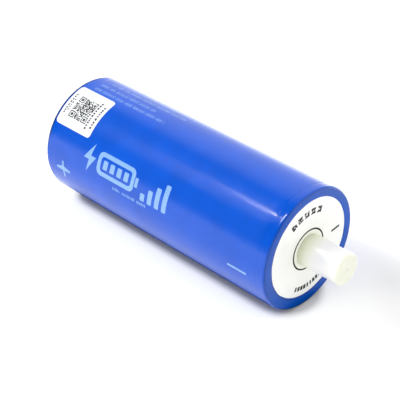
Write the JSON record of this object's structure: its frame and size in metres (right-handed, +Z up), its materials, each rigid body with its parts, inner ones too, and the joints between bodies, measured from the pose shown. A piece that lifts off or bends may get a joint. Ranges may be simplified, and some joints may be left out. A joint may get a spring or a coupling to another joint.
{
  "type": "cylindrical battery cell",
  "caption": "Cylindrical lithium-titanate battery cell lying on its side: blue shrink sleeve, white end rings and a translucent push-on cap over each threaded terminal stud.",
  "frame": {"origin": "centre of the cell, on its axis, halfway between the two end faces", "axes": "+X along the axis towards the negative terminal, +Z up with the cell lying on its side, -Y towards the side with the printed sign and sticker"},
  "size_m": [0.208, 0.0666, 0.0666],
  "materials": {
    "sleeve": "blue heat-shrink film, glossy",
    "can": "drawn tube, satin",
    "cover": "machined, satin",
    "end_label": "white insulating board, satin",
    "terminal": "turned and threaded, semi-bright",
    "seal": "black elastomer",
    "insulator": "off-white engineering plastic",
    "nut": "turned, semi-bright",
    "cap": "translucent soft polyethylene, creamy white",
    "collector": "stamped sheet",
    "plate": "milky polypropylene",
    "core": "milky polypropylene tube",
    "electrode": "coated foil, dark grey with bare foil edge",
    "separator": "white porous film",
    "wrap": "green-tinted film",
    "vent": "thin scored foil",
    "plug": "turned, semi-bright",
    "sticker": "white paper with dark print"
  },
  "bodies": {
    "cell": {"anode_strip": "electrode", "can": "can", "cathode_strip": "electrode", "fill_plug": "plug", "inner_separator": "separator", "negative_clamp_nut": "nut", "negative_collector": "collector", "negative_cover": "cover", "negative_end_label": "end_label", "negative_inner_insulator": "insulator", "negative_insulating_plate": "plate", "negative_outer_insulator": "insulator", "negative_pole": "terminal", "negative_seal_ring": "seal", "outer_separator": "separator", "positive_clamp_nut": "nut", "positive_collector": "collector", "positive_cover": "cover", "positive_end_label": "end_label", "positive_inner_insulator": "insulator", "positive_insulating_plate": "plate", "positive_outer_insulator": "insulator", "positive_pole": "terminal", "positive_seal_ring": "seal", "roll_wrap": "wrap", "sleeve": "sleeve", "sticker": "sticker", "vent_disc": "vent", "winding_core": "core"},
    "negative_cap": {"negative_cap": "cap"},
    "positive_cap": {"positive_cap": "cap"}
  },
  "joints": [
    {"name": "negative_cap_slide", "type": "slide", "parent": "cell", "child": "negative_cap", "axis": [1, 0, 0], "range_m": [0, 0.045]},
    {"name": "positive_cap_slide", "type": "slide", "parent": "cell", "child": "positive_cap", "axis": [-1, 0, 0], "range_m": [0, 0.045]}
  ]
}
